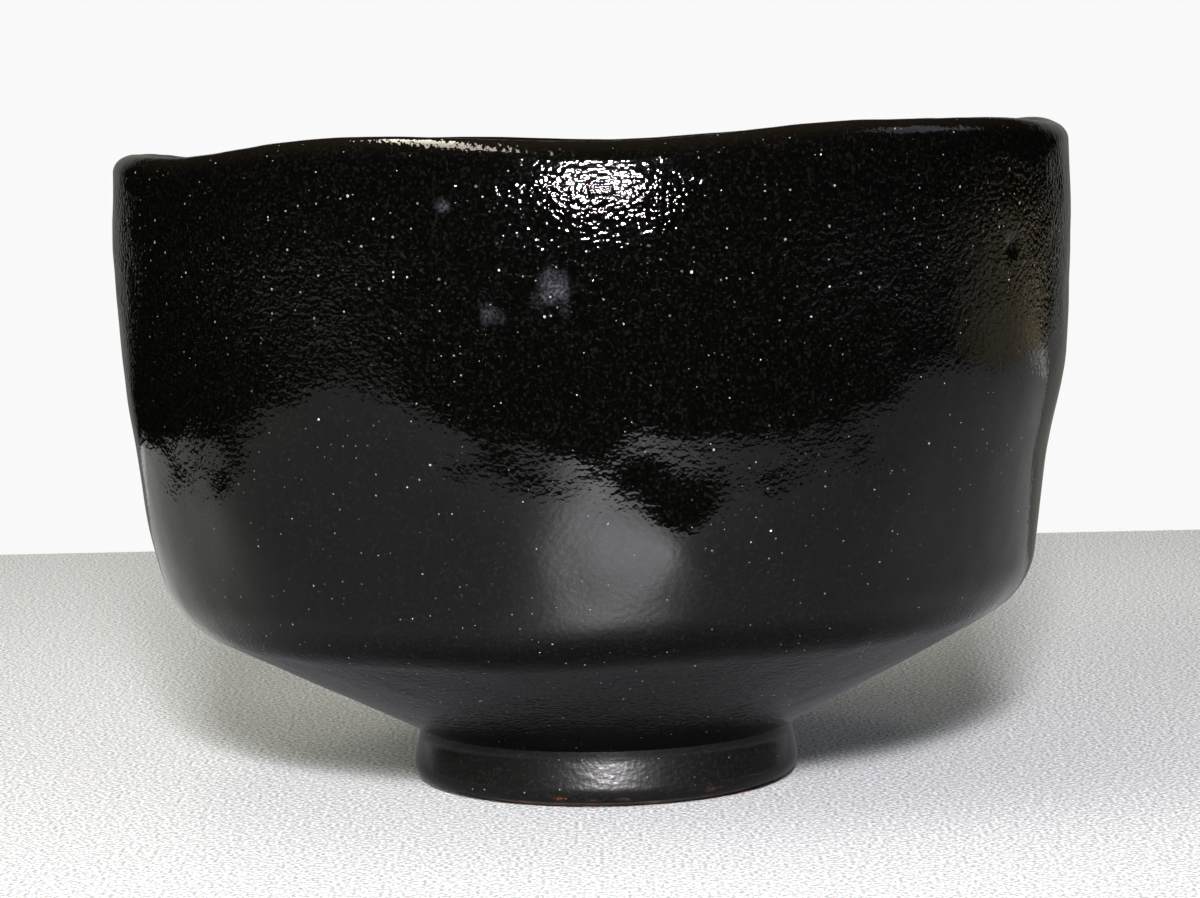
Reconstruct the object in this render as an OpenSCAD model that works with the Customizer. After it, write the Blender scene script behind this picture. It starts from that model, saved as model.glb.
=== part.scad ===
// Bowl for whisked tea, formed by hand in red-brown clay and coated in black glaze.
// The origin is the centre of the ring that the foot rests on. +Z is up, and the
// front of the bowl faces -Y. Lengths are in millimetres and angles in degrees,
// and a direction round the bowl is counted from +X towards +Y.

/* [Bowl] */
// Diameter across the outside of the mouth
mouth_d = 120; // [96:1:150]
// Height of the rim above the table, before its dips
rim_h = 82; // [68:0.5:100]
// How far the hip's corner lies inside the mouth's edge
hip_in = 6; // [3:0.5:12]
// Height of the hip's corner, where the underside turns up into the wall
hip_h = 23.5; // [18:0.5:30]
// Radius of the bend at the hip
hip_round = 9.5; // [6:0.5:14]
// How far the belly lies inside the mouth's edge
belly_in = 1; // [0.5:0.5:3]
// Height of the belly, where the wall turns upright
belly_h = 50.5; // [42:0.5:56]
// Radius of the bend at the belly
belly_round = 60; // [20:5:90]
// Height of the band under the rim that turns in
turn_h = 11; // [7:0.5:16]
// How far that band turns in
turn_in = 0.4; // [0:0.1:2]
// Radius of the bend where that band starts
turn_round = 60; // [20:5:90]

/* [Wall and floor] */
// Thickness of the lip, whose top is one half round
lip_t = 4.5; // [3.5:0.1:6]
// Thickness of the wall
wall_t = 5; // [4:0.1:7]
// How far the hip inside lies above the hip outside
hip_lift = 4; // [2:0.5:8]
// Radius of the bend from the wall to the floor
inner_round = 18; // [10:1:24]
// Thickness of the floor over the foot
floor_t = 4.8; // [3.5:0.1:8]
// Radius of the flat part of the floor
floor_r = 27; // [23:0.5:32]
// Radius of the bend at the edge of the flat part
floor_round = 15; // [6:1:20]
// Radius of the hollow in which the last of the tea gathers
pool_r = 17; // [12:0.5:20]
// Depth of that hollow
pool_depth = 1.5; // [0.5:0.1:2.5]
// Width of the slope at its edge
pool_slope = 4; // [2:0.5:6]
// Radius of the bends at its edge
pool_round = 5; // [2:0.5:8]

/* [Foot] */
// Diameter of the foot at its lower corner, before rounding
foot_d = 50; // [44:0.5:62]
// Diameter of the foot where it meets the underside
waist_d = 47.5; // [42:0.5:60]
// Height of the foot
foot_h = 7; // [5.5:0.5:10]
// Height of the upright neck above the flare
neck_h = 1; // [0.5:0.5:3]
// Radius of the bend where the flare starts
flare_round = 4; // [2:0.5:6]
// Radius of the outer lower edge
edge_round = 2.2; // [0.8:0.1:2.6]
// Diameter of the recess in the foot
recess_d = 35; // [28:0.5:38]
// Radius of the inner lower edge
recess_edge_round = 0.6; // [0.2:0.1:0.7]
// Radius of the bend between the recess's wall and its ceiling
recess_round = 2; // [1:0.1:3]
// Thickness of the clay between the recess and the bowl
web_t = 1.5; // [1:0.1:2.5]
// Radius of the low peak in the middle of the recess
peak_r = 7; // [4:0.5:10]
// Height of that peak
peak_h = 1; // [0.5:0.1:2]
// Radius of the bend round the peak
peak_round = 4; // [1:0.5:8]

/* [Glaze] */
// Thickness of the glaze
glaze_t = 0.7; // [0.4:0.1:1]
// Height of the clay left bare at the foot's lower edges
bare_h = 0.8; // [0.7:0.1:1.5]

/* [Forming by hand] */
// How strongly the hands have shaped the rim and the wall
hand = 1; // [0:0.1:1.5]
// How far the mouth lies to the right of the foot
lean = -0.5; // [-2:0.1:2]
// How steeply the bowl rises on its foot, towards the right
tilt = 1.4; // [0:0.1:3]

/* [Facets] */
// Facets round the bowl
facets = 48; // [36:6:60]
// Longest step along the section of the bowl
row_step = 7; // [5:0.5:10]
// Largest turn in one step of a bend
bend_step = 15; // [10:1:22]

/* [Hidden] */

clay_brown = [0.36, 0.20, 0.13];
glaze_black = [0.05, 0.05, 0.05];
lip_brown = [0.12, 0.09, 0.07];

// Low places in the rim. Each row is direction, half width in degrees, and rise.
rim_dips = [
    [20, 20, -0.9],
    [55, 18, -0.7],
    [85, 18, -1.6],
    [145, 18, -1.9],
    [185, 30, -0.5],
    [215, 14, -0.9],
    [242, 14, 0.3],
    [275, 16, -1.4],
    [310, 16, -0.4],
    [335, 14, -0.9],
    [352, 14, -1.4],
];

// Marks that fingers and palms left in the wall.
// Each row is direction, height, half width in degrees, half height, and how far out.
finger_marks = [
    [0, 41, 30, 8, -0.6],
    [0, 17, 30, 7, 0.8],
    [60, 58, 22, 11, 0.5],
    [98, 44, 24, 12, -0.8],
    [132, 30, 20, 9, 0.8],
    [180, 33, 35, 9, 1.1],
    [180, 15, 35, 6, 1.2],
    [226, 38, 9, 8.5, 1.6],
    [243, 40, 8, 8.5, -0.6],
    [260, 37, 8, 8, 0.8],
    [271, 37, 7, 8, 0.3],
    [271, 84, 15, 5, -1.3],
    [281, 35, 7, 8, 1.2],
    [291, 36, 8, 8.5, 0.9],
    [303, 38, 8, 8.5, 1.3],
];

// How soon above the foot the tilt and the marks reach their full strength
settle_rate = 5;

// Points nearer to each other than this are one point
same_point = 0.001;

mouth_r = mouth_d / 2;
hip_r = mouth_r - hip_in;
belly_r = mouth_r - belly_in;
lip_r = mouth_r - turn_in;
turn_z = rim_h - turn_h;
lip_round = lip_t;
waist_r = waist_d / 2;
pool_z = foot_h + floor_t;
floor_z = pool_z + pool_depth;
recess_r = recess_d / 2;
recess_z = foot_h - web_t - glaze_t;

// Corners of the finished surface's section, each a radius from the axis, a height
// and the radius of its bend: up the outside, over the lip, and down the inside.
outer_corners = [
    [waist_r, foot_h, 0],
    [hip_r, hip_h, hip_round],
    [belly_r, belly_h, belly_round],
    [mouth_r, turn_z, turn_round],
];
lip_corners = [
    [lip_r, rim_h, lip_round],
    [lip_r - lip_t, rim_h, lip_round],
];
inner_corners = [
    [mouth_r - wall_t, turn_z, turn_round],
    [belly_r - wall_t, belly_h, belly_round],
    [hip_r - wall_t, hip_h + hip_lift, inner_round],
    [floor_r, floor_z, floor_round],
    [pool_r, floor_z, pool_round],
    [pool_r - pool_slope, pool_z, pool_round],
    [0, pool_z, 0],
];

outer_line = stepped(bent(outer_corners, lip_corners[0]));
lip_line = stepped(bent(lip_corners, inner_corners[0], outer_corners[3]));
inner_line = stepped(bent(inner_corners, undef, lip_corners[1]));

// The finished surface and the clay under it, station by station. Lip stations
// run from lip_first to lip_last, and the last station lies on the axis.
finish = concat(outer_line, lip_line, inner_line);
lip_first = len(outer_line);
lip_last = lip_first + len(lip_line) - 1;
axis_station = len(finish) - 1;
clay = [for (i = [0:axis_station]) finish[i] - glaze_t * outward(i)];

function sum(values) = values * [for (v = values) 1];

function unit(v) = v / norm(v);

// Angle from one direction to another, between -180 and 180
function turn_between(from, to) = ((to - from + 180) % 360 + 360) % 360 - 180;

// Bell curve that is 1 at no distance and falls off over the spread
function bell(distance, spread) = exp(-pow(distance / spread, 2));

function flat(p) = [p[0], p[1]];

// Arc that bends the corner at b on the way from a to c. Its tangents reach at most
// halfway along the shorter side, so that two bends never meet.
function bend(a, b, c) =
    let (
        to_a = unit(flat(a) - flat(b)),
        to_c = unit(flat(c) - flat(b)),
        half = acos(to_a * to_c) / 2,
        room = min(norm(flat(a) - flat(b)), norm(flat(c) - flat(b))) / 2,
        reach = min(b[2] / tan(half), room),
        radius = reach * tan(half),
        centre = flat(b) + unit(to_a + to_c) * reach / cos(half),
        start = flat(b) + to_a * reach - centre,
        end = flat(b) + to_c * reach - centre,
        first = atan2(start.y, start.x),
        sweep = turn_between(first, atan2(end.y, end.x)),
        steps = max(1, ceil(abs(sweep) / bend_step))
    )
    [for (i = [0:steps]) let (a = first + sweep * i / steps) centre + radius * [cos(a), sin(a)]];

// Line through the corners with each one bent. The corners before and after the
// list only give the first and last bends their directions.
function bent(corners, after = undef, before = undef) =
    let (last = len(corners) - 1)
    [
        for (i = [0:last])
            each corners[i][2] == 0
                ? [flat(corners[i])]
                : bend(
                    i > 0 ? corners[i - 1] : before,
                    corners[i],
                    i < last ? corners[i + 1] : after
                )
    ];

// The same line with its long straight runs divided, and without a point twice
function stepped(line) =
    [
        for (i = [0:len(line) - 2])
            let (
                run = line[i + 1] - line[i],
                parts = ceil((norm(run) - same_point) / row_step)
            )
            if (parts > 0) each [for (k = [0:parts - 1]) line[i] + run * k / parts],
        line[len(line) - 1]
    ];

// Direction out of the glaze at a station: level where the coat meets the foot's,
// straight up on the axis, and square to the section elsewhere
function outward(i) =
    i == 0 ? [1, 0]
    : i == axis_station ? [0, 1]
    : let (along = unit(finish[i + 1] - finish[i - 1])) [along.y, -along.x];

// A point of the section, turned to its direction and shaped by the hands. At the
// foot nothing is moved, so that the foot stays round and level.
function formed(p, turn) =
    let (
        share = max(0, (p.y - foot_h) / (rim_h - foot_h)),
        settled = 1 - exp(-settle_rate * share),
        dip = sum([for (d = rim_dips) d[2] * bell(turn_between(d[0], turn), d[1])]),
        press = sum([
            for (m = finger_marks)
                m[4] * bell(turn_between(m[0], turn), m[2]) * bell(p.y - m[1], m[3])
        ]),
        r = p.x * (1 + hand * settled * press / mouth_r)
    )
    [
        r * cos(turn) + lean * share,
        r * sin(turn),
        p.y + settled * tan(tilt) * p.x * cos(turn) + hand * share * share * dip
    ];

// Points of the rings at the stations of a line
function rings(line) =
    [for (p = line) for (j = [0:facets - 1]) formed(p, 360 * j / facets)];

function stretch(line, first, last) = [for (i = [first:last]) line[i]];

// Triangles between the rings whose first points are p and q. They face outwards
// when q lies further along the section, or the other way when out is false.
function band(p, q, out) =
    [
        for (j = [0:facets - 1])
            let (k = (j + 1) % facets)
            each out
                ? [[p + j, q + j, p + k], [p + k, q + j, q + k]]
                : [[p + j, p + k, q + j], [p + k, q + k, q + j]]
    ];

// Triangles from a ring to a point on the axis
function cap(p, pole, out) =
    [
        for (j = [0:facets - 1])
            let (k = (j + 1) % facets)
            out ? [p + j, pole, p + k] : [p + j, p + k, pole]
    ];

// Bands along a row of rings
function skin(first, count, out) =
    [for (i = [0:count - 2]) each band(first + i * facets, first + (i + 1) * facets, out)];

// Coat of glaze between two stations, with level edges
module coat(first, last) {
    count = last - first + 1;
    under = count * facets;
    top = (count - 1) * facets;
    polyhedron(
        points = concat(
            rings(stretch(finish, first, last)),
            rings(stretch(clay, first, last))
        ),
        faces = concat(
            skin(0, count, true),
            skin(under, count, false),
            band(0, under, false),
            band(top, under + top, true)
        )
    );
}

// Corners of the foot's outer side, from its top to the table
function foot_side(inset) =
    [
        [waist_r - inset, foot_h, 0],
        [waist_r - inset, foot_h - neck_h, flare_round],
        [foot_d / 2 - inset, 0, edge_round],
    ];

// Corners of the recess, from its mouth to the axis
function recess_side(mouth_z, inset) =
    [
        [recess_r + inset, mouth_z, mouth_z > 0 ? 0 : recess_edge_round],
        [recess_r + inset, recess_z + inset, recess_round],
        [peak_r, recess_z + inset, peak_round],
        [0, recess_z + inset - peak_h, 0],
    ];

// Clay of the bowl, flat underneath where the foot is joined
module bowl_body() {
    count = axis_station;
    top = (count - 1) * facets;
    under_pole = count * facets;
    floor_pole = under_pole + 1;
    color(clay_brown)
    polyhedron(
        points = concat(
            rings(stretch(clay, 0, count - 1)),
            [formed([0, foot_h], 0), formed(clay[axis_station], 0)]
        ),
        faces = concat(
            skin(0, count, true),
            cap(0, under_pole, false),
            cap(top, floor_pole, true)
        )
    );
}

// Turned foot with its recess
module foot() {
    color(clay_brown)
    rotate_extrude($fn = facets)
    polygon(bent(concat(
        [[0, foot_h, 0]],
        foot_side(glaze_t),
        recess_side(0, glaze_t)
    )));
}

// Glaze on the underside and the outer wall
module outer_glaze() {
    color(glaze_black)
    coat(0, lip_first);
}

// Glaze over the lip, which fires to a browner black
module lip_glaze() {
    color(lip_brown)
    coat(lip_first, lip_last);
}

// Glaze on the inner wall, the floor and the tea pool
module inner_glaze() {
    count = axis_station - lip_last;
    under = count * facets;
    top = (count - 1) * facets;
    pole = 2 * count * facets;
    color(glaze_black)
    polyhedron(
        points = concat(
            rings(stretch(finish, lip_last, axis_station - 1)),
            rings(stretch(clay, lip_last, axis_station - 1)),
            [formed(finish[axis_station], 0), formed(clay[axis_station], 0)]
        ),
        faces = concat(
            skin(0, count, true),
            skin(under, count, false),
            band(0, under, false),
            cap(top, pole, true),
            cap(under + top, pole + 1, false)
        )
    );
}

// Glaze on the outer side of the foot, down to the bare edge
module foot_glaze() {
    color(glaze_black)
    rotate_extrude($fn = facets)
    difference() {
        polygon(bent(concat([[0, foot_h, 0]], foot_side(0), [[0, 0, 0]])));
        polygon(bent(concat([[0, foot_h, 0]], foot_side(glaze_t), [[0, 0, 0]])));
        square([foot_d, bare_h]);
    }
}

// Glaze in the recess, up to the bare edge
module recess_glaze() {
    color(glaze_black)
    rotate_extrude($fn = facets)
    difference() {
        polygon(bent(concat([[0, bare_h, 0]], recess_side(bare_h, glaze_t))));
        polygon(bent(concat([[0, bare_h, 0]], recess_side(bare_h, 0))));
    }
}

bowl_body();
foot();
outer_glaze();
lip_glaze();
inner_glaze();
foot_glaze();
recess_glaze();
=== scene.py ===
import math

import bpy
import numpy as np
from mathutils import Matrix, Vector


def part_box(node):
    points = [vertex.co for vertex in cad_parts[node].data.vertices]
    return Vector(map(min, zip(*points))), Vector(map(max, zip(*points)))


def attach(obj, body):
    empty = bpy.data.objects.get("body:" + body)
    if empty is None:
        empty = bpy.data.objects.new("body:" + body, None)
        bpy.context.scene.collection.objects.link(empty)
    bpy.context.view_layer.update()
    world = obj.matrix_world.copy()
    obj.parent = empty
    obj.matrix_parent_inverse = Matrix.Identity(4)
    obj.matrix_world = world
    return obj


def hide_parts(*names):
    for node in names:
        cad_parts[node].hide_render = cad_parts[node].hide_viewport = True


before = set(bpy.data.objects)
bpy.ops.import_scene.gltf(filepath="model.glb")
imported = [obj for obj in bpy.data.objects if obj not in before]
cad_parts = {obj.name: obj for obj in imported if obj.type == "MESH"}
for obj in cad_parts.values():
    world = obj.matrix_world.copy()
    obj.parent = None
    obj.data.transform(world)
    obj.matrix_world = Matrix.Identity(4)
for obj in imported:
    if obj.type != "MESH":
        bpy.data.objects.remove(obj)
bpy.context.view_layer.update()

# Bowl body: red-brown clay, pinched up by hand to an upright wall over a soft hip and then fired.
# The glaze hides it all round, and the foot is joined to its flat base. Lengths are in millimetres,
# and a direction round the bowl is in degrees from +X towards +Y, so that the front is at 270.
MM = 0.001
AROUND = 576
TURN = np.arange(AROUND)[None] * 360 / AROUND
MOUTH_R = 60.0
RIM_H = 82.0
WAIST_R = 23.75
FOOT_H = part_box("foot")[1].z / MM
GLAZE_T = 0.7
LEAN = -0.5
TILT = math.radians(1.4)
SETTLE_RATE = 5.0
ARC_STEP = math.radians(2)
SHARP_EDGE = math.radians(50)

# Corners of the finished surface's section: radius, height and radius of the bend.
OUTER_CORNERS = [(WAIST_R, FOOT_H, 0), (54, 23.5, 9.5), (59, 50.5, 60), (60, 71, 60)]
LIP_CORNERS = [(59.6, RIM_H, 4.5), (55.1, RIM_H, 4.5)]
INNER_CORNERS = [
    (55, 71, 60), (54, 50.5, 60), (49, 27.5, 18), (27, 13.3, 15),
    (17, 13.3, 5), (13, 11.8, 5), (0, 11.8, 0),
]

# Low and high places in the rim: direction, half width and rise.
RIM_DIPS = [
    (20, 20, -0.9), (55, 18, -0.7), (85, 18, -1.6), (145, 18, -1.9), (185, 30, -0.5), (215, 14, -0.9),
    (242, 14, 0.3), (275, 16, -1.4), (310, 16, -0.4), (335, 14, -0.9), (352, 14, -1.4),
]

# Marks that fingers and palms left: direction, height, half width, half height and how far out.
FINGER_MARKS = [
    (0, 41, 30, 8, -0.6), (0, 17, 30, 7, 0.8), (60, 58, 22, 11, 0.5), (98, 44, 24, 12, -0.8),
    (132, 30, 20, 9, 0.8), (180, 33, 35, 9, 1.1), (180, 15, 35, 6, 1.2), (226, 38, 9, 8.5, 1.6),
    (243, 40, 8, 8.5, -0.6), (260, 37, 8, 8, 0.8), (271, 37, 7, 8, 0.3), (271, 84, 15, 5, -1.3),
    (281, 35, 7, 8, 1.2), (291, 36, 8, 8.5, 0.9), (303, 38, 8, 8.5, 1.3),
]


def bend(before, corner, after):
    """Arc that rounds a corner. Its tangents reach at most halfway along the shorter side."""
    here = np.array(corner[:2], float)
    back = np.array(before[:2], float) - here
    ahead = np.array(after[:2], float) - here
    room = min(np.linalg.norm(back), np.linalg.norm(ahead)) / 2
    back /= np.linalg.norm(back)
    ahead /= np.linalg.norm(ahead)
    half = math.acos(back @ ahead) / 2
    reach = min(corner[2] / math.tan(half), room)
    middle = (back + ahead) / np.linalg.norm(back + ahead)
    centre = here + middle * reach / math.cos(half)
    start = here + back * reach - centre
    end = here + ahead * reach - centre
    first = math.atan2(start[1], start[0])
    sweep = (math.atan2(end[1], end[0]) - first + math.pi) % math.tau - math.pi
    angle = first + sweep * np.linspace(0, 1, 2 + int(abs(sweep) / ARC_STEP))
    return centre + reach * math.tan(half) * np.stack([np.cos(angle), np.sin(angle)], -1)


def rounded(corners, before=None, after=None):
    """Line through the corners with each one bent. The corners before and after only give directions."""
    row = [before, *corners, after]
    pieces = [
        bend(row[i], row[i + 1], row[i + 2]) if corner[2] else np.array([corner[:2]], float)
        for i, corner in enumerate(corners)
    ]
    return np.concatenate(pieces)


def spaced(line, step):
    """The same line as points at equal steps along its length."""
    run = np.concatenate([[0], np.cumsum(np.linalg.norm(np.diff(line, axis=0), axis=1))])
    at = np.linspace(0, run[-1], 1 + math.ceil(run[-1] / step))
    return np.stack([np.interp(at, run, line[:, 0]), np.interp(at, run, line[:, 1])], -1)


def bell(distance, spread):
    """1 at no distance, falling off over the spread as a Gaussian."""
    return np.exp(-((distance / spread) ** 2))


def away(direction):
    """Angle of every direction round the bowl from one direction, between -180 and 180."""
    return (TURN - direction + 180) % 360 - 180


def spots(height, rows):
    """Sum of bell-shaped spots, each at a direction and height with half sizes and an amount."""
    return sum(
        amount * bell(away(way), width) * bell(height - level, tall)
        for way, level, width, tall, amount in rows
    )


def formed(line):
    """Rings of points: each radius and height of the line is turned round the axis. Above the foot
    the wall then leans, tilts, takes the finger marks outwards and the rim's dips upwards."""
    r, z = line[:, :1], line[:, 1:]
    share = np.maximum(0, (z - FOOT_H) / (RIM_H - FOOT_H))
    settled = 1 - np.exp(-SETTLE_RATE * share)
    dip = sum(rise * bell(away(way), width) for way, width, rise in RIM_DIPS)
    reach = r * (1 + settled * spots(z, FINGER_MARKS) / MOUTH_R)
    angle = np.radians(TURN)
    x = reach * np.cos(angle) + LEAN * share
    y = reach * np.sin(angle)
    up = z + settled * math.tan(TILT) * r * np.cos(angle) + share**2 * dip
    return np.stack([x, y, up], -1)


def skin(name, rings, poles=None, **values):
    """Closed skin over rings of points, with quads between each ring and the next. Without poles the
    last ring joins the first. With them, a fan of triangles closes each end to its pole. The values
    are kept at the rings' points as attributes."""
    count, around = rings.shape[:2]
    index = np.arange(count * around).reshape(count, around)
    here = index if poles is None else index[:-1]
    after = np.roll(index, -1, 0)[: len(here)]
    quads = np.stack([here, np.roll(here, -1, 1), np.roll(after, -1, 1), after], -1)
    faces = quads.reshape(-1, 4).tolist()
    points = rings.reshape(-1, 3)
    if poles is not None:
        first, last = index[0], index[-1]
        start = np.full(around, index.size)
        end = np.full(around, index.size + 1)
        faces += np.stack([start, np.roll(first, -1), first], -1).tolist()
        faces += np.stack([last, np.roll(last, -1), end], -1).tolist()
        points = np.concatenate([points, poles])
    mesh = bpy.data.meshes.new(name)
    mesh.from_pydata((points * MM).tolist(), [], faces)
    for key, value in values.items():
        whole = np.zeros(len(points), np.float32)
        whole[: index.size] = np.broadcast_to(value, (count, around)).ravel()
        mesh.attributes.new(key, "FLOAT", "POINT").data.foreach_set("value", whole)
    mesh.shade_smooth()
    mesh.set_sharp_from_angle(angle=SHARP_EDGE)
    piece = bpy.data.objects.new(name, mesh)
    bpy.context.scene.collection.objects.link(piece)
    return piece


def node(tree, kind, inputs=None, **settings):
    """New shader node with its settings, and its inputs set to values or linked to sockets."""
    made = tree.nodes.new("ShaderNode" + kind)
    for key, value in settings.items():
        setattr(made, key, value)
    for key, value in (inputs or {}).items():
        if isinstance(value, bpy.types.NodeSocket):
            tree.links.new(value, made.inputs[key])
        else:
            made.inputs[key].default_value = value
    return made


def noise(tree, place, scale, detail):
    """Cloudy noise from 0 to 1, with so many lumps a metre."""
    return node(tree, "TexNoise", {"Vector": place, "Scale": scale, "Detail": detail}).outputs["Fac"]


def mixed(tree, share, low, high):
    """Colour between two colours by a share from 0 to 1."""
    return node(tree, "Mix", {"Factor": share, "A": low, "B": high}, data_type="RGBA").outputs["Result"]


def ranged(tree, value, low, high, to_low=0.0, to_high=1.0):
    """Value carried from one range to another along a smooth step, and held at the ends."""
    inputs = {"Value": value, "From Min": low, "From Max": high, "To Min": to_low, "To Max": to_high}
    return node(tree, "MapRange", inputs, interpolation_type="SMOOTHSTEP").outputs["Result"]


def blank_material(name):
    """Material with only a Principled shader, its tree and the piece's own coordinates."""
    material = bpy.data.materials.new(name)
    material.use_nodes = True
    tree = material.node_tree
    place = node(tree, "TexCoord").outputs["Object"]
    return material, tree, place, tree.nodes["Principled BSDF"]


CLAY_DARK = (0.13, 0.055, 0.03, 1)
CLAY_LIGHT = (0.27, 0.13, 0.075, 1)
IRON_BLACK = (0.035, 0.02, 0.014, 1)
MOTTLES, MOTTLE_RANGE = 220, (0.4, 0.75)
IRON_CELLS, IRON_RANGE = 900, (0.24, 0.14)
CLAY_GRAINS, CLAY_GRAIN_H = 2600, 0.00008
CLAY_ROUGHNESS = 0.85


def fired_clay(name, dark=CLAY_DARK, light=CLAY_LIGHT):
    """Matt red-brown clay: mottled between two colours, with dark iron specks and fine grain."""
    material, tree, place, shader = blank_material(name)
    mottle = noise(tree, place, MOTTLES, 5)
    iron = node(tree, "TexVoronoi", {"Vector": place, "Scale": IRON_CELLS}).outputs["Distance"]
    colour = mixed(tree, ranged(tree, mottle, *MOTTLE_RANGE), dark, light)
    colour = mixed(tree, ranged(tree, iron, *IRON_RANGE), colour, IRON_BLACK)
    bump = node(tree, "Bump", {"Height": noise(tree, place, CLAY_GRAINS, 2), "Distance": CLAY_GRAIN_H})
    tree.links.new(colour, shader.inputs["Base Color"])
    tree.links.new(bump.outputs["Normal"], shader.inputs["Normal"])
    shader.inputs["Roughness"].default_value = CLAY_ROUGHNESS
    return material


# The whole finished section, from the foot up the outside, over the lip and down to the axis inside,
# and the clay under it. The coats share the rows where they meet.
OUTER_STEP = 0.65
LIP_STEP = 0.12
INNER_STEP = 0.8
CLAY_SKIP = 4
lip_line = rounded(LIP_CORNERS, OUTER_CORNERS[-1], INNER_CORNERS[0])
outer_line = np.concatenate([rounded(OUTER_CORNERS, None, LIP_CORNERS[0]), lip_line[:1]])
inner_line = np.concatenate([lip_line[-1:], rounded(INNER_CORNERS, LIP_CORNERS[-1], None)])
outer_points = spaced(outer_line, OUTER_STEP)
lip_points = spaced(lip_line, LIP_STEP)
section = np.concatenate([outer_points[:-1], lip_points[:-1], spaced(inner_line, INNER_STEP)])
LIP_FIRST = len(outer_points) - 1
LIP_LAST = LIP_FIRST + len(lip_points) - 1
POLE = len(section) - 1
along = np.gradient(section, axis=0)
along /= np.linalg.norm(along, axis=1)[:, None]
outward = np.stack([along[:, 1], -along[:, 0]], -1)
outward[0] = (1, 0)
outward[POLE] = (0, 1)
clay = formed(section - GLAZE_T * outward)
base_middle = np.array([0, 0, FOOT_H])

clay_rows = np.r_[0:LIP_FIRST:CLAY_SKIP, LIP_FIRST:LIP_LAST:CLAY_SKIP, LIP_LAST:POLE:CLAY_SKIP]
bowl_body = skin("bowl_body_clay", clay[clay_rows], [base_middle, clay[POLE, 0]])
bowl_body.data.materials.append(fired_clay("body_clay"))
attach(bowl_body, "root")
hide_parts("bowl_body")

# Foot: a low ring of the same clay with a round recess and a small peak in its middle, turned on the
# wheel. It is bare only along the edges that stand on the table.
FOOT_R = 25
FLARE_H, FLARE_BEND = 6, 4
EDGE_BEND = 2.2
RECESS_R, RECESS_H, RECESS_BEND = 17.5, 4.8, 2
MOUTH_BEND = 0.6
PEAK_R, PEAK_H, PEAK_BEND = 7, 3.8, 4
BARE_H = 0.8
FOOT_STEP = 0.35
FOOT_CLAY_DARK = (0.008, 0.006, 0.005, 1)
FOOT_CLAY_LIGHT = (0.12, 0.05, 0.025, 1)


def foot_side(inset):
    """Corners of the foot's outer side, from its top to the table, set in by a thickness."""
    waist = WAIST_R - inset
    return [(waist, FOOT_H, 0), (waist, FLARE_H, FLARE_BEND), (FOOT_R - inset, 0, EDGE_BEND)]


def recess_side(inset, mouth=(0, MOUTH_BEND)):
    """Corners of the recess, from its mouth's height and bend to the axis, set in by a thickness."""
    side = RECESS_R + inset
    top = RECESS_H + inset
    return [(side, *mouth), (side, top, RECESS_BEND), (PEAK_R, top, PEAK_BEND), (0, PEAK_H + inset, 0)]


foot_line = rounded(foot_side(GLAZE_T) + recess_side(GLAZE_T))[::-1]
foot_rings = formed(spaced(foot_line, FOOT_STEP))
foot = skin("foot_clay", foot_rings[1:], [foot_rings[0, 0], base_middle])
foot.data.materials.append(fired_clay("foot_clay", FOOT_CLAY_DARK, FOOT_CLAY_LIGHT))
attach(foot, "root")
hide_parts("foot")

# Outer glaze: a thick black coat melted onto the wall and the underside. It froze with a pebbled skin,
# and pinholes and faint hazy patches are left in it. The pinholes are pale specks in its colour, partly
# pale grains and partly painted glints.
UNDER_SKIP = 12

# Waves frozen in the glaze: spacing, height, how level they lie and the seed of their directions.
LONG_WAVE = (26.0, 0.08, 1.0, 3)
RIPPLE = (6.0, 0.02, 1.2, 5)
PEBBLE = (3.0, 0.007, 1.5, 7)
WAVE_COUNT = 48
WAVE_SPREAD = (0.7, 1.4)
SMALLEST = 1e-9

# How strong the pebbles are: faint up to one height and full from another, weaker in a band under the
# lip, on the lip and inside. Below the hip a share comes back, and the glaze is duller there.
CALM_H, PEBBLED_H = 48.0, 74.0
CALM_SHARE = 0.12
BAND_H, BAND_TALL, BAND_LOSS = 79.0, 1.6, 0.7
LIP_SHARE = 0.4
HIP_H, HIP_RUN = 27.0, 7.0
UNDER_SHARE = 0.5

# The ripples keep a part of their height where the pebbles are faint. All waves ease out at the foot,
# and the coat thins over a short run towards the lip's crest.
RIPPLE_LEAST = 0.5
EASE_RUN = 4.0
THIN_RUN = 1.9

# Hazy patches: direction, height, half width, half height and strength. The pit, and the low swells
# where the glaze ran thicker or thinner, have a height in millimetres instead of a strength.
HAZE = [(265.8, 65.4, 2.2, 3.0, 1.0), (259, 62.6, 1.6, 1.4, 0.9), (254.5, 74.6, 1.3, 1.2, 0.8)]
PIT = (324.5, 66.9, 1.0, 1.1, -0.5)
SWELLS = [(252, 43, 7, 4, 0.3), (285.5, 49, 4, 5, 0.18), (286, 36, 4, 5, -0.14)]

# A slanting fingernail groove is a row of spots between two ends.
GROOVE_TOP, GROOVE_END = (274.5, 48), (282.5, 39)
GROOVE_SPOT = (3.5, 3.5, -0.1)
GROOVE_COUNT = 4


def waves(points, spacing, height, flat, seed):
    """Sum of plane waves in random directions about one spacing, with that height as its spread.
    A flat above 1 steepens the waves upwards, so that the ripples lie level."""
    rng = np.random.default_rng(seed)
    ways = rng.normal(size=(WAVE_COUNT, 3)) * (1, 1, flat)
    ways /= np.linalg.norm(ways, axis=1)[:, None]
    ways *= math.tau / spacing / rng.uniform(*WAVE_SPREAD, (WAVE_COUNT, 1))
    phase = rng.uniform(0, math.tau, WAVE_COUNT)
    return height * math.sqrt(2 / WAVE_COUNT) * np.cos(points @ ways.T + phase).sum(-1)


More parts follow.
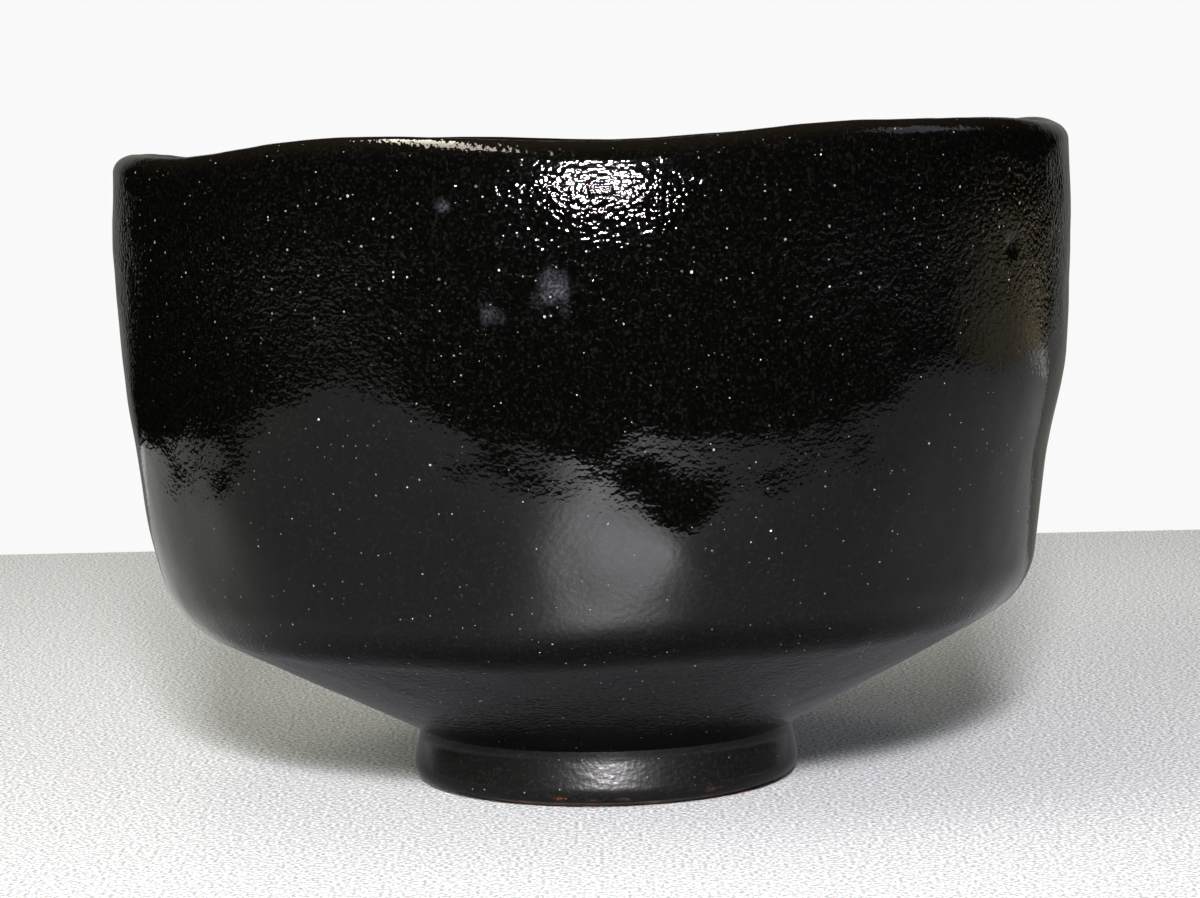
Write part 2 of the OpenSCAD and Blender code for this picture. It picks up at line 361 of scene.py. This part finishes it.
def normals(rings):
    """Directions square to a surface of rings: its step round crossed with its step along, at length 1."""
    square = np.cross(np.roll(rings, -1, 1) - np.roll(rings, 1, 1), np.gradient(rings, axis=0))
    return square / np.maximum(np.linalg.norm(square, axis=-1), SMALLEST)[..., None]


smooth = formed(section)
wall_z = section[:, 1:]
outside = (np.arange(len(section)) < LIP_FIRST)[:, None]
pebbled = np.clip((wall_z - CALM_H) / (PEBBLED_H - CALM_H), 0, 1)
pebbled = CALM_SHARE + (1 - CALM_SHARE) * pebbled**2 * (3 - 2 * pebbled)
pebbled = pebbled * np.where(outside, 1 - BAND_LOSS * bell(wall_z - BAND_H, BAND_TALL), LIP_SHARE)
below_hip = outside * np.clip((HIP_H - wall_z) / HIP_RUN, 0, 1)
pebbled = pebbled + UNDER_SHARE * below_hip
relief = waves(smooth, *LONG_WAVE)
relief += (RIPPLE_LEAST + (1 - RIPPLE_LEAST) * pebbled) * waves(smooth, *RIPPLE)
relief += pebbled * waves(smooth, *PEBBLE)
relief *= 1 - np.exp(-np.maximum(0, wall_z - FOOT_H) / EASE_RUN)
groove = [(*spot, *GROOVE_SPOT) for spot in np.linspace(GROOVE_TOP, GROOVE_END, GROOVE_COUNT)]
relief += outside * spots(wall_z, [PIT, *SWELLS, *groove])
finish = smooth + relief[..., None] * normals(smooth)
hazy = outside * spots(wall_z, HAZE)
from_crest = np.cumsum(np.r_[0, np.linalg.norm(np.diff(section, axis=0), axis=1)])
from_crest -= from_crest[(LIP_FIRST + LIP_LAST) // 2]
thin = bell(from_crest, THIN_RUN)[:, None]


def coat(name, first, last):
    """Coat of glaze between two rows: its finished face, and its face on the clay with fewer rows."""
    under = np.r_[last:first:-UNDER_SKIP, first]
    rows = np.r_[first : last + 1, under]
    rings = np.concatenate([finish[first : last + 1], clay[under]])
    return skin(name, rings, thin=thin[rows], pebbled=pebbled[rows], hazy=hazy[rows], dulled=below_hip[rows])


def new_group(name, inputs, output):
    """Empty shader group with a Place and other number inputs, and one number as its output."""
    group = bpy.data.node_groups.new(name, "ShaderNodeTree")
    group.interface.new_socket("Place", in_out="INPUT", socket_type="NodeSocketVector")
    for key in inputs:
        group.interface.new_socket(key, in_out="INPUT", socket_type="NodeSocketFloat")
    group.interface.new_socket(output, in_out="OUTPUT", socket_type="NodeSocketFloat")
    return group, group.nodes.new("NodeGroupInput").outputs, group.nodes.new("NodeGroupOutput")


def placed(tree, group, inputs):
    """A group put into a material, and its output."""
    return node(tree, "Group", inputs, node_tree=group).outputs[0]


def math_node(tree, operation, *numbers):
    """One step of arithmetic on numbers or sockets."""
    return node(tree, "Math", dict(enumerate(numbers)), operation=operation).outputs[0]


def kept(tree, name):
    """A value that the mesh keeps at each point."""
    return node(tree, "Attribute", attribute_name=name).outputs["Fac"]


# Fine pebbled skin, a little wider than it is tall.
PEEL_SQUAT = (0.9, 0.9, 1.05)
orange_peel, given, result = new_group("orange_peel", ["Pebbles a metre", "Share"], "Height")
squat = node(orange_peel, "Mapping", {"Vector": given["Place"], "Scale": PEEL_SQUAT}).outputs["Vector"]
pebble_height = noise(orange_peel, squat, given["Pebbles a metre"], 1.5)
shared_height = math_node(orange_peel, "MULTIPLY", pebble_height, given["Share"])
orange_peel.links.new(shared_height, result.inputs["Height"])

# Pinholes and pale grains in some of the cells of a fine mesh, of differing size and brightness. The
# pale specks are partly painted glints of light in the pinholes.
SIZE_POWER = 3
BRIGHT_POWER = 1.6
pinholes_and_glints, given, result = new_group("pinholes_and_glints", ["Cells a metre", "Size"], "Mask")
cells = node(pinholes_and_glints, "TexVoronoi", {"Vector": given["Place"], "Scale": given["Cells a metre"]}).outputs
chance = node(pinholes_and_glints, "SeparateColor", {"Color": cells["Color"]}).outputs
hole_share = math_node(pinholes_and_glints, "POWER", chance["Red"], SIZE_POWER)
hole_size = math_node(pinholes_and_glints, "MULTIPLY", hole_share, given["Size"])
hole = math_node(pinholes_and_glints, "LESS_THAN", cells["Distance"], hole_size)
brightness = math_node(pinholes_and_glints, "POWER", chance["Green"], BRIGHT_POWER)
pinholes_and_glints.links.new(math_node(pinholes_and_glints, "MULTIPLY", hole, brightness), result.inputs["Mask"])

# Hazy patches made ragged by a coarse cloud and broken up by a fine one.
RAGS, RAG_SHARE, RAG_RANGE = 500, 1.4, (1.0, 2.2)
FLECKS, FLECK_RANGE = 3000, (0.35, 0.7, 0.15, 1)
ragged_haze, given, result = new_group("ragged_haze", ["Patch"], "Mask")
rags = noise(ragged_haze, given["Place"], RAGS, 4)
patched = math_node(ragged_haze, "MULTIPLY_ADD", rags, RAG_SHARE, given["Patch"])
ragged = ranged(ragged_haze, patched, *RAG_RANGE)
flecks = ranged(ragged_haze, noise(ragged_haze, given["Place"], FLECKS, 2), *FLECK_RANGE)
ragged_haze.links.new(math_node(ragged_haze, "MULTIPLY", ragged, flecks), result.inputs["Mask"])

GLAZE_ROUGHNESS = 0.05
UNDER_ROUGHNESS = 0.2
GLAZE_SHINE = 0.15
BLACKS = [(0.0007, 0.0007, 0.0006, 1), (0.0045, 0.0043, 0.0038, 1)]
THIN_BROWN = (0.009, 0.0062, 0.004, 1)
HAZE_GREY = (0.075, 0.077, 0.09, 1)
TONES, TONE_RANGE = 2600, (0.5, 0.72)
PEBBLES, PEEL_HEIGHT = 1600, 0.00018

# Pinholes: cells a metre, size where the glaze is calm, size where it is pebbled, and colour. The pale
# colour is partly real grains and partly painted glints.
PINHOLES_AND_GLINTS = [(1400, 0.15, 0.24, (0.3, 0.3, 0.28, 1)), (480, 0.07, 0.095, (0.6, 0.6, 0.56, 1))]


def black_glaze(name, roughness=GLAZE_ROUGHNESS, shine=GLAZE_SHINE, blacks=BLACKS, patch=HAZE_GREY):
    """Glossy black glaze: browner where thin, with pale pinholes that are partly painted glints, faint haze
    and orange peel.
    """
    material, tree, place, shader = blank_material(name)
    pebbles = kept(tree, "pebbled")
    haze = placed(tree, ragged_haze, {"Place": place, "Patch": kept(tree, "hazy")})
    colour = mixed(tree, ranged(tree, noise(tree, place, TONES, 2), *TONE_RANGE), *blacks)
    colour = mixed(tree, kept(tree, "thin"), colour, THIN_BROWN)
    colour = mixed(tree, haze, colour, patch)
    for count, calm_size, full_size, pale in PINHOLES_AND_GLINTS:
        size = ranged(tree, pebbles, CALM_SHARE, 1, calm_size, full_size)
        holes = placed(tree, pinholes_and_glints, {"Place": place, "Cells a metre": count, "Size": size})
        colour = mixed(tree, holes, colour, pale)
    peel = placed(tree, orange_peel, {"Place": place, "Pebbles a metre": PEBBLES, "Share": pebbles})
    bump = node(tree, "Bump", {"Height": peel, "Distance": PEEL_HEIGHT})
    tree.links.new(colour, shader.inputs["Base Color"])
    tree.links.new(bump.outputs["Normal"], shader.inputs["Normal"])
    shader.inputs["Roughness"].default_value = roughness
    shader.inputs["Specular IOR Level"].default_value = shine
    return material


outer_glaze = coat("outer_glaze_coat", 0, LIP_FIRST)
outer_black = black_glaze("outer_black_glaze")
outer_tree = outer_black.node_tree
dulled = ranged(outer_tree, kept(outer_tree, "dulled"), 0, 1, GLAZE_ROUGHNESS, UNDER_ROUGHNESS)
outer_tree.links.new(dulled, outer_tree.nodes["Principled BSDF"].inputs["Roughness"])
outer_glaze.data.materials.append(outer_black)
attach(outer_glaze, "root")
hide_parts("outer_glaze")

# Lip glaze: the same coat where it wraps the rounded rim. It ran thin over the edge in the kiln, so
# the clay shows through as a browner black.
lip_glaze = coat("lip_glaze_coat", LIP_FIRST, LIP_LAST)
lip_glaze.data.materials.append(black_glaze("lip_brown_glaze"))
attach(lip_glaze, "root")
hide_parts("lip_glaze")

# Inner glaze: the black coat on the inside of the wall, the floor and the shallow hollow in which the
# last of the tea gathers.
inner_under = np.r_[POLE - 1 : LIP_LAST : -UNDER_SKIP, LIP_LAST]
inner_rows = np.r_[inner_under, LIP_LAST:POLE]
inner_rings = np.concatenate([clay[inner_under], finish[LIP_LAST:POLE]])
inner_poles = [clay[POLE, 0], finish[POLE, 0]]
inner_glaze = skin(
    "inner_glaze_coat", inner_rings, inner_poles, thin=thin[inner_rows], pebbled=pebbled[inner_rows]
)
inner_glaze.data.materials.append(black_glaze("inner_black_glaze"))
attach(inner_glaze, "root")
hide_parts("inner_glaze")

# Foot glaze: the black coat on the outer side of the foot. It was wiped off just above the table, so
# that the bowl wouldn't stick to the kiln's shelf. Rusty clay shows through it at places.
FOOT_PEBBLED = 0.25
FOOT_ROUGHNESS = 0.3
FOOT_SHINE = 0.13
FOOT_BLACKS = [(0.004, 0.0039, 0.0036, 1), (0.011, 0.0103, 0.0095, 1)]
FOOT_COAT, FOOT_COAT_ROUGHNESS = 0.19, 0.13
RUST_BROWN = (0.2, 0.075, 0.025, 1)

# Rusty places: direction, height, half width, half height and strength.
RUST = [
    (256.5, 1.3, 2.6, 0.5, 1.0), (266, 1.2, 3.5, 0.4, 0.85),
    (275, 1.2, 3, 0.4, 0.85), (303, 1.6, 4, 0.5, 0.8),
]


def above_bare(line, step):
    """The part of a falling line that lies above the bare edge and ends on it, in equal steps."""
    last = np.argmax(line[:, 1] < BARE_H)
    share = (line[last - 1, 1] - BARE_H) / (line[last - 1, 1] - line[last, 1])
    edge = line[last - 1] + share * (line[last] - line[last - 1])
    return spaced(np.concatenate([line[:last], [edge]]), step)


table_middle = (0, 0, 0)
face_line = above_bare(rounded(foot_side(0) + [table_middle]), FOOT_STEP / 2)[::-1]
under_line = above_bare(rounded(foot_side(GLAZE_T) + [table_middle]), FOOT_STEP)
rusty = np.concatenate([spots(face_line[:, 1:], RUST), np.zeros((len(under_line), AROUND))])
foot_coat_rings = np.concatenate([formed(face_line), formed(under_line)])
foot_glaze = skin("foot_glaze_coat", foot_coat_rings, pebbled=FOOT_PEBBLED, hazy=rusty)
foot_black = black_glaze("foot_black_glaze", FOOT_ROUGHNESS, FOOT_SHINE, FOOT_BLACKS, RUST_BROWN)
foot_shader = foot_black.node_tree.nodes["Principled BSDF"]
foot_shader.inputs["Coat Weight"].default_value = FOOT_COAT
foot_shader.inputs["Coat Roughness"].default_value = FOOT_COAT_ROUGHNESS
foot_glaze.data.materials.append(foot_black)
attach(foot_glaze, "root")
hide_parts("foot_glaze")

# Recess glaze: a thin black coat inside the ring, over the small peak that the turning tool left. It
# was melted on with the other coats, and stops at the same height as the one outside.
RECESS_THIN = 0.3
RECESS_PEBBLED = 1.0
RECESS_ROUGHNESS = 0.25
recess_mouth = (BARE_H, 0)
recess_face = formed(spaced(rounded(recess_side(0, recess_mouth)), FOOT_STEP))[::-1]
recess_under = formed(spaced(rounded(recess_side(GLAZE_T, recess_mouth)), FOOT_STEP))
recess_rings = np.concatenate([recess_face[1:], recess_under[:-1]])
recess_poles = [recess_face[0, 0], recess_under[-1, 0]]
recess_glaze = skin(
    "recess_glaze_coat", recess_rings, recess_poles, thin=RECESS_THIN, pebbled=RECESS_PEBBLED
)
recess_glaze.data.materials.append(black_glaze("recess_black_glaze", RECESS_ROUGHNESS))
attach(recess_glaze, "root")
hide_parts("recess_glaze")

# Table: a pale, finely grained board that the bowl stands on, with its back edge behind the bowl. It
# is a little glossy, so that a lamp leaves a soft glow on it. From here on, lengths are in metres.
TABLE_BACK = 0.235
TABLE_REACH = 3.0
TABLE_GRAINS, GRAIN_RANGE = 2000, (0.36, 0.64)
TABLE_GREY = (0.42, 0.42, 0.44, 1)
TABLE_WHITE = (1, 1, 1, 1)
TABLE_GLOSS, TABLE_ROUGHNESS = 0.105, 0.44


def staged(name, points, faces):
    """Object of the stage, which isn't part of the bowl."""
    mesh = bpy.data.meshes.new(name)
    mesh.from_pydata(points, [], faces)
    made = bpy.data.objects.new(name, mesh)
    bpy.context.scene.collection.objects.link(made)
    return made


def level_sheet(name, corners, height):
    """One level face through its corners at a height."""
    return staged(name, [(x, y, height) for x, y in corners], [range(len(corners))])


table_corners = [
    (-TABLE_REACH, -TABLE_REACH), (TABLE_REACH, -TABLE_REACH),
    (TABLE_REACH, TABLE_BACK), (-TABLE_REACH, TABLE_BACK),
]
table = level_sheet("table", table_corners, 0)
table_top, table_tree, table_place, table_shader = blank_material("table_top")
grain = ranged(table_tree, noise(table_tree, table_place, TABLE_GRAINS, 3), *GRAIN_RANGE)
table_colour = mixed(table_tree, grain, TABLE_GREY, TABLE_WHITE)
table_tree.links.new(table_colour, table_shader.inputs["Base Color"])
table_shader.inputs["Metallic"].default_value = TABLE_GLOSS
table_shader.inputs["Roughness"].default_value = TABLE_ROUGHNESS
table_shader.inputs["Specular IOR Level"].default_value = 0
table.data.materials.append(table_top)

# Dark room: what the glaze mirrors, seen only in reflections. Its sheets glow without being lamps, so
# they are painted reflections. Its black dome leaves out the lit part of the table. It holds a brown
# board on the right, a grey wall at the back, painted shade on the table before that wall and under the
# bowl, and a long bright panel in the ceiling.
ROOM_R = 1.4
ROOM_AROUND, ROOM_ROWS = 241, 16
ROOM_LIFT, SHADE_LIFT, BOARD_LIFT = 0.0005, 0.0008, 0.001
ROOM_BLACK = (0.004, 0.004, 0.0035, 1)
BOARD_BROWN = (0.62, 0.5, 0.27, 1)
# Grey of the wall's painted reflection and of the painted shade on the table before it.
WALL_AND_SHADE_GREY = (0.2, 0.2, 0.185, 1)
WALL_LEFT, WALL_RIGHT, WALL_BACK, WALL_TOP = -0.44, 0.5, 0.7, 0.3
FOOT_SHADE_GREY = (0.24, 0.24, 0.258, 1)
FOOT_SHADE_R, FOOT_SHADE_CORE, FOOT_SHADE_STEP = 0.085, 0.05, 6
PANEL_H, PANEL_LEFT, PANEL_RIGHT, PANEL_REACH = 1.2, -0.4, -0.18, 0.9
PANEL_WARM, PANEL_GLOW = (1, 0.93, 0.78, 1), 30

# Edge of the lit part of the table: direction and distance.
LIT_EDGE = [
    (15, 0.47), (45, 0.52), (90, 0.45), (120, 0.35), (155, 0.22), (190, 0.3), (213, 0.36),
    (232, 0.21), (270, 0.165), (305, 0.2), (340, 0.32),
]


def mirrored_only(made, name, colour, strength=1):
    """Glowing material that only reflections show, and its tree, coordinates and shader."""
    material, tree, place, shader = blank_material(name)
    shader.inputs["Base Color"].default_value = (0, 0, 0, 1)
    shader.inputs["Specular IOR Level"].default_value = 0
    shader.inputs["Emission Color"].default_value = colour
    shader.inputs["Emission Strength"].default_value = strength
    made.data.materials.append(material)
    made.visible_camera = False
    made.visible_diffuse = False
    made.visible_shadow = False
    made.visible_transmission = False
    return tree, place, shader


def dome(turn, up):
    """Grid of points: the first row follows the lit edge of the table, and each further row is a
    level ring of the dome at an angle up from the table."""
    lit_way, lit_r = np.array(LIT_EDGE).T
    edge = np.interp(turn, lit_way, lit_r, period=360)[None]
    r = np.concatenate([edge, ROOM_R * np.cos(up)[:, None] + 0 * edge])
    z = np.concatenate([0 * edge, ROOM_R * np.sin(up)[:, None] + 0 * edge]) + ROOM_LIFT
    angle = np.radians(turn)
    return np.stack([r * np.cos(angle), r * np.sin(angle), z], -1)


room_up = np.radians(np.linspace(0, 90, ROOM_ROWS))
room_points = dome(np.linspace(0, 360, ROOM_AROUND), room_up)
room_index = np.arange(room_points[..., 0].size).reshape(room_points.shape[:2])
low, high = room_index[:-1], room_index[1:]
room_faces = np.stack([low[:, :-1], low[:, 1:], high[:, 1:], high[:, :-1]], -1)
room = staged("dark_room", room_points.reshape(-1, 3).tolist(), room_faces.reshape(-1, 4).tolist())
mirrored_only(room, "room_black", ROOM_BLACK)

# The brown board glows: a painted reflection of something brown on the right of the room.
board = level_sheet("brown_board", [(0.5, 0.02), (1.3, 0.12), (0.84, 0.72), (0.42, 0.37)], BOARD_LIFT)
mirrored_only(board, "brown_board_reflection", BOARD_BROWN)
# The grey wall glows: a painted reflection at the back of the room.
wall_corners = [
    (WALL_LEFT, WALL_BACK, 0), (WALL_RIGHT, WALL_BACK, 0),
    (WALL_RIGHT, WALL_BACK, WALL_TOP), (WALL_LEFT, WALL_BACK, WALL_TOP),
]
wall = staged("grey_wall", wall_corners, [range(4)])
mirrored_only(wall, "wall_grey", WALL_AND_SHADE_GREY)
shade_corners = [
    (0.07, 0.07), (WALL_RIGHT, 0.49), (WALL_RIGHT, WALL_BACK), (WALL_LEFT, WALL_BACK), (-0.05, 0.085)
]
shade = level_sheet("shaded_table", shade_corners, SHADE_LIFT)
mirrored_only(shade, "table_shade", WALL_AND_SHADE_GREY)
shade_turn = np.radians(np.arange(0, 360, FOOT_SHADE_STEP))
shade_rim = FOOT_SHADE_R * np.stack([np.cos(shade_turn), np.sin(shade_turn)], -1)
foot_shade = level_sheet("foot_shade", shade_rim.tolist(), SHADE_LIFT)
shade_tree, shade_place, shade_shader = mirrored_only(foot_shade, "shade_blue", FOOT_SHADE_GREY)
from_foot = node(shade_tree, "VectorMath", {0: shade_place}, operation="LENGTH").outputs["Value"]
shade_fade = ranged(shade_tree, from_foot, FOOT_SHADE_CORE, FOOT_SHADE_R, 1, 0)
shade_tree.links.new(shade_fade, shade_shader.inputs["Alpha"])
# The ceiling panel glows: a painted reflection of the ceiling lamp, which reflections don't show.
panel_corners = [
    (PANEL_LEFT, -PANEL_REACH), (PANEL_RIGHT, -PANEL_REACH),
    (PANEL_RIGHT, PANEL_REACH), (PANEL_LEFT, PANEL_REACH),
]
panel = level_sheet("ceiling_panel", panel_corners, PANEL_H)
mirrored_only(panel, "panel_warm", PANEL_WARM, PANEL_GLOW)

# Light: a small lamp over the camera with a wider one in its place that only reflections show, a large
# lamp behind them, a long ceiling lamp and a soft fill on the left, and a cool window on the right.
# The even surround gives little light, and shows white behind the table.
AIM = (0, 0, 0.04)
OVER_CAMERA = (0.012, -0.43, 0.21)
SURROUND_TINT, SURROUND_LIGHT = (1, 1.02, 0.86, 1), 0.08
SURROUND_WHITE = 0.95


def lamp(name, place, size, watts, colour, mirrored=True, lights=True):
    """Area lamp of a width and height at a place, facing the bowl. Mirrored says whether reflections
    show it, and lights whether it lights matt surfaces."""
    data = bpy.data.lights.new(name, "AREA")
    data.shape = "RECTANGLE"
    data.size, data.size_y = size
    data.energy = watts
    data.color = colour
    made = bpy.data.objects.new(name, data)
    back = (Vector(place) - Vector(AIM)).normalized()
    made.matrix_world = Matrix.Translation(place) @ back.to_track_quat("Z", "Y").to_matrix().to_4x4()
    made.visible_glossy = mirrored
    made.visible_diffuse = lights
    bpy.context.scene.collection.objects.link(made)


lamp("camera_lamp", OVER_CAMERA, (0.03, 0.02), 1.15, (1, 0.98, 1), mirrored=False)
lamp("camera_spark", OVER_CAMERA, (0.09, 0.022), 20.0, (1, 0.97, 1), lights=False)
lamp("front_lamp", (0, -0.8, 0.4), (0.12, 0.12), 10, (0.97, 0.97, 1.01), mirrored=False)
lamp("ceiling_lamp", (-0.28, 0.0, 1.2), (0.2, 1.8), 2, (1, 0.95, 0.85), mirrored=False)
lamp("left_fill", (-0.9, -0.5, 0.6), (0.6, 0.6), 7, (1, 1.01, 0.87), mirrored=False)
lamp("window", (1.0, 0.1, 0.8), (0.5, 0.5), 1.3, (0.8, 0.88, 1))

world = bpy.data.worlds.new("surround")
bpy.context.scene.world = world
world.use_nodes = True
sky = world.node_tree
sky.nodes.clear()
rays = node(sky, "LightPath").outputs
shown = math_node(sky, "MAXIMUM", rays["Is Camera Ray"], rays["Is Glossy Ray"])
shown = math_node(sky, "MAXIMUM", shown, rays["Is Transmission Ray"])
light = node(sky, "Background", {"Color": SURROUND_TINT, "Strength": SURROUND_LIGHT}).outputs[0]
white = node(sky, "Background", {"Color": (1, 1, 1, 1), "Strength": SURROUND_WHITE}).outputs[0]
surround = node(sky, "MixShader", {0: shown, 1: light, 2: white}).outputs[0]
sky.links.new(surround, node(sky, "OutputWorld").inputs["Surface"])

# Camera: low in front of the bowl, pitched down and rolled a little, as the bowl was photographed.
# Its focal length is in pixels of the image.
IMAGE_W = 1200
FOCAL_PIXELS = 3276
SENSOR_W = 36
CAMERA_PLACE = (0, -0.4145, 0.0818)
PITCH = math.radians(5.55)
ROLL = math.radians(1.2)
NEAREST, FARTHEST = 0.01, 20
lens = bpy.data.cameras.new("camera")
lens.sensor_width = SENSOR_W
lens.lens = SENSOR_W * FOCAL_PIXELS / IMAGE_W
lens.clip_start = NEAREST
lens.clip_end = FARTHEST
camera = bpy.data.objects.new("camera", lens)
level = Matrix.Rotation(math.pi / 2 - PITCH, 4, "X") @ Matrix.Rotation(-ROLL, 4, "Z")
camera.matrix_world = Matrix.Translation(CAMERA_PLACE) @ level
bpy.context.scene.collection.objects.link(camera)
bpy.context.scene.camera = camera
bpy.context.scene.view_settings.view_transform = "Standard"
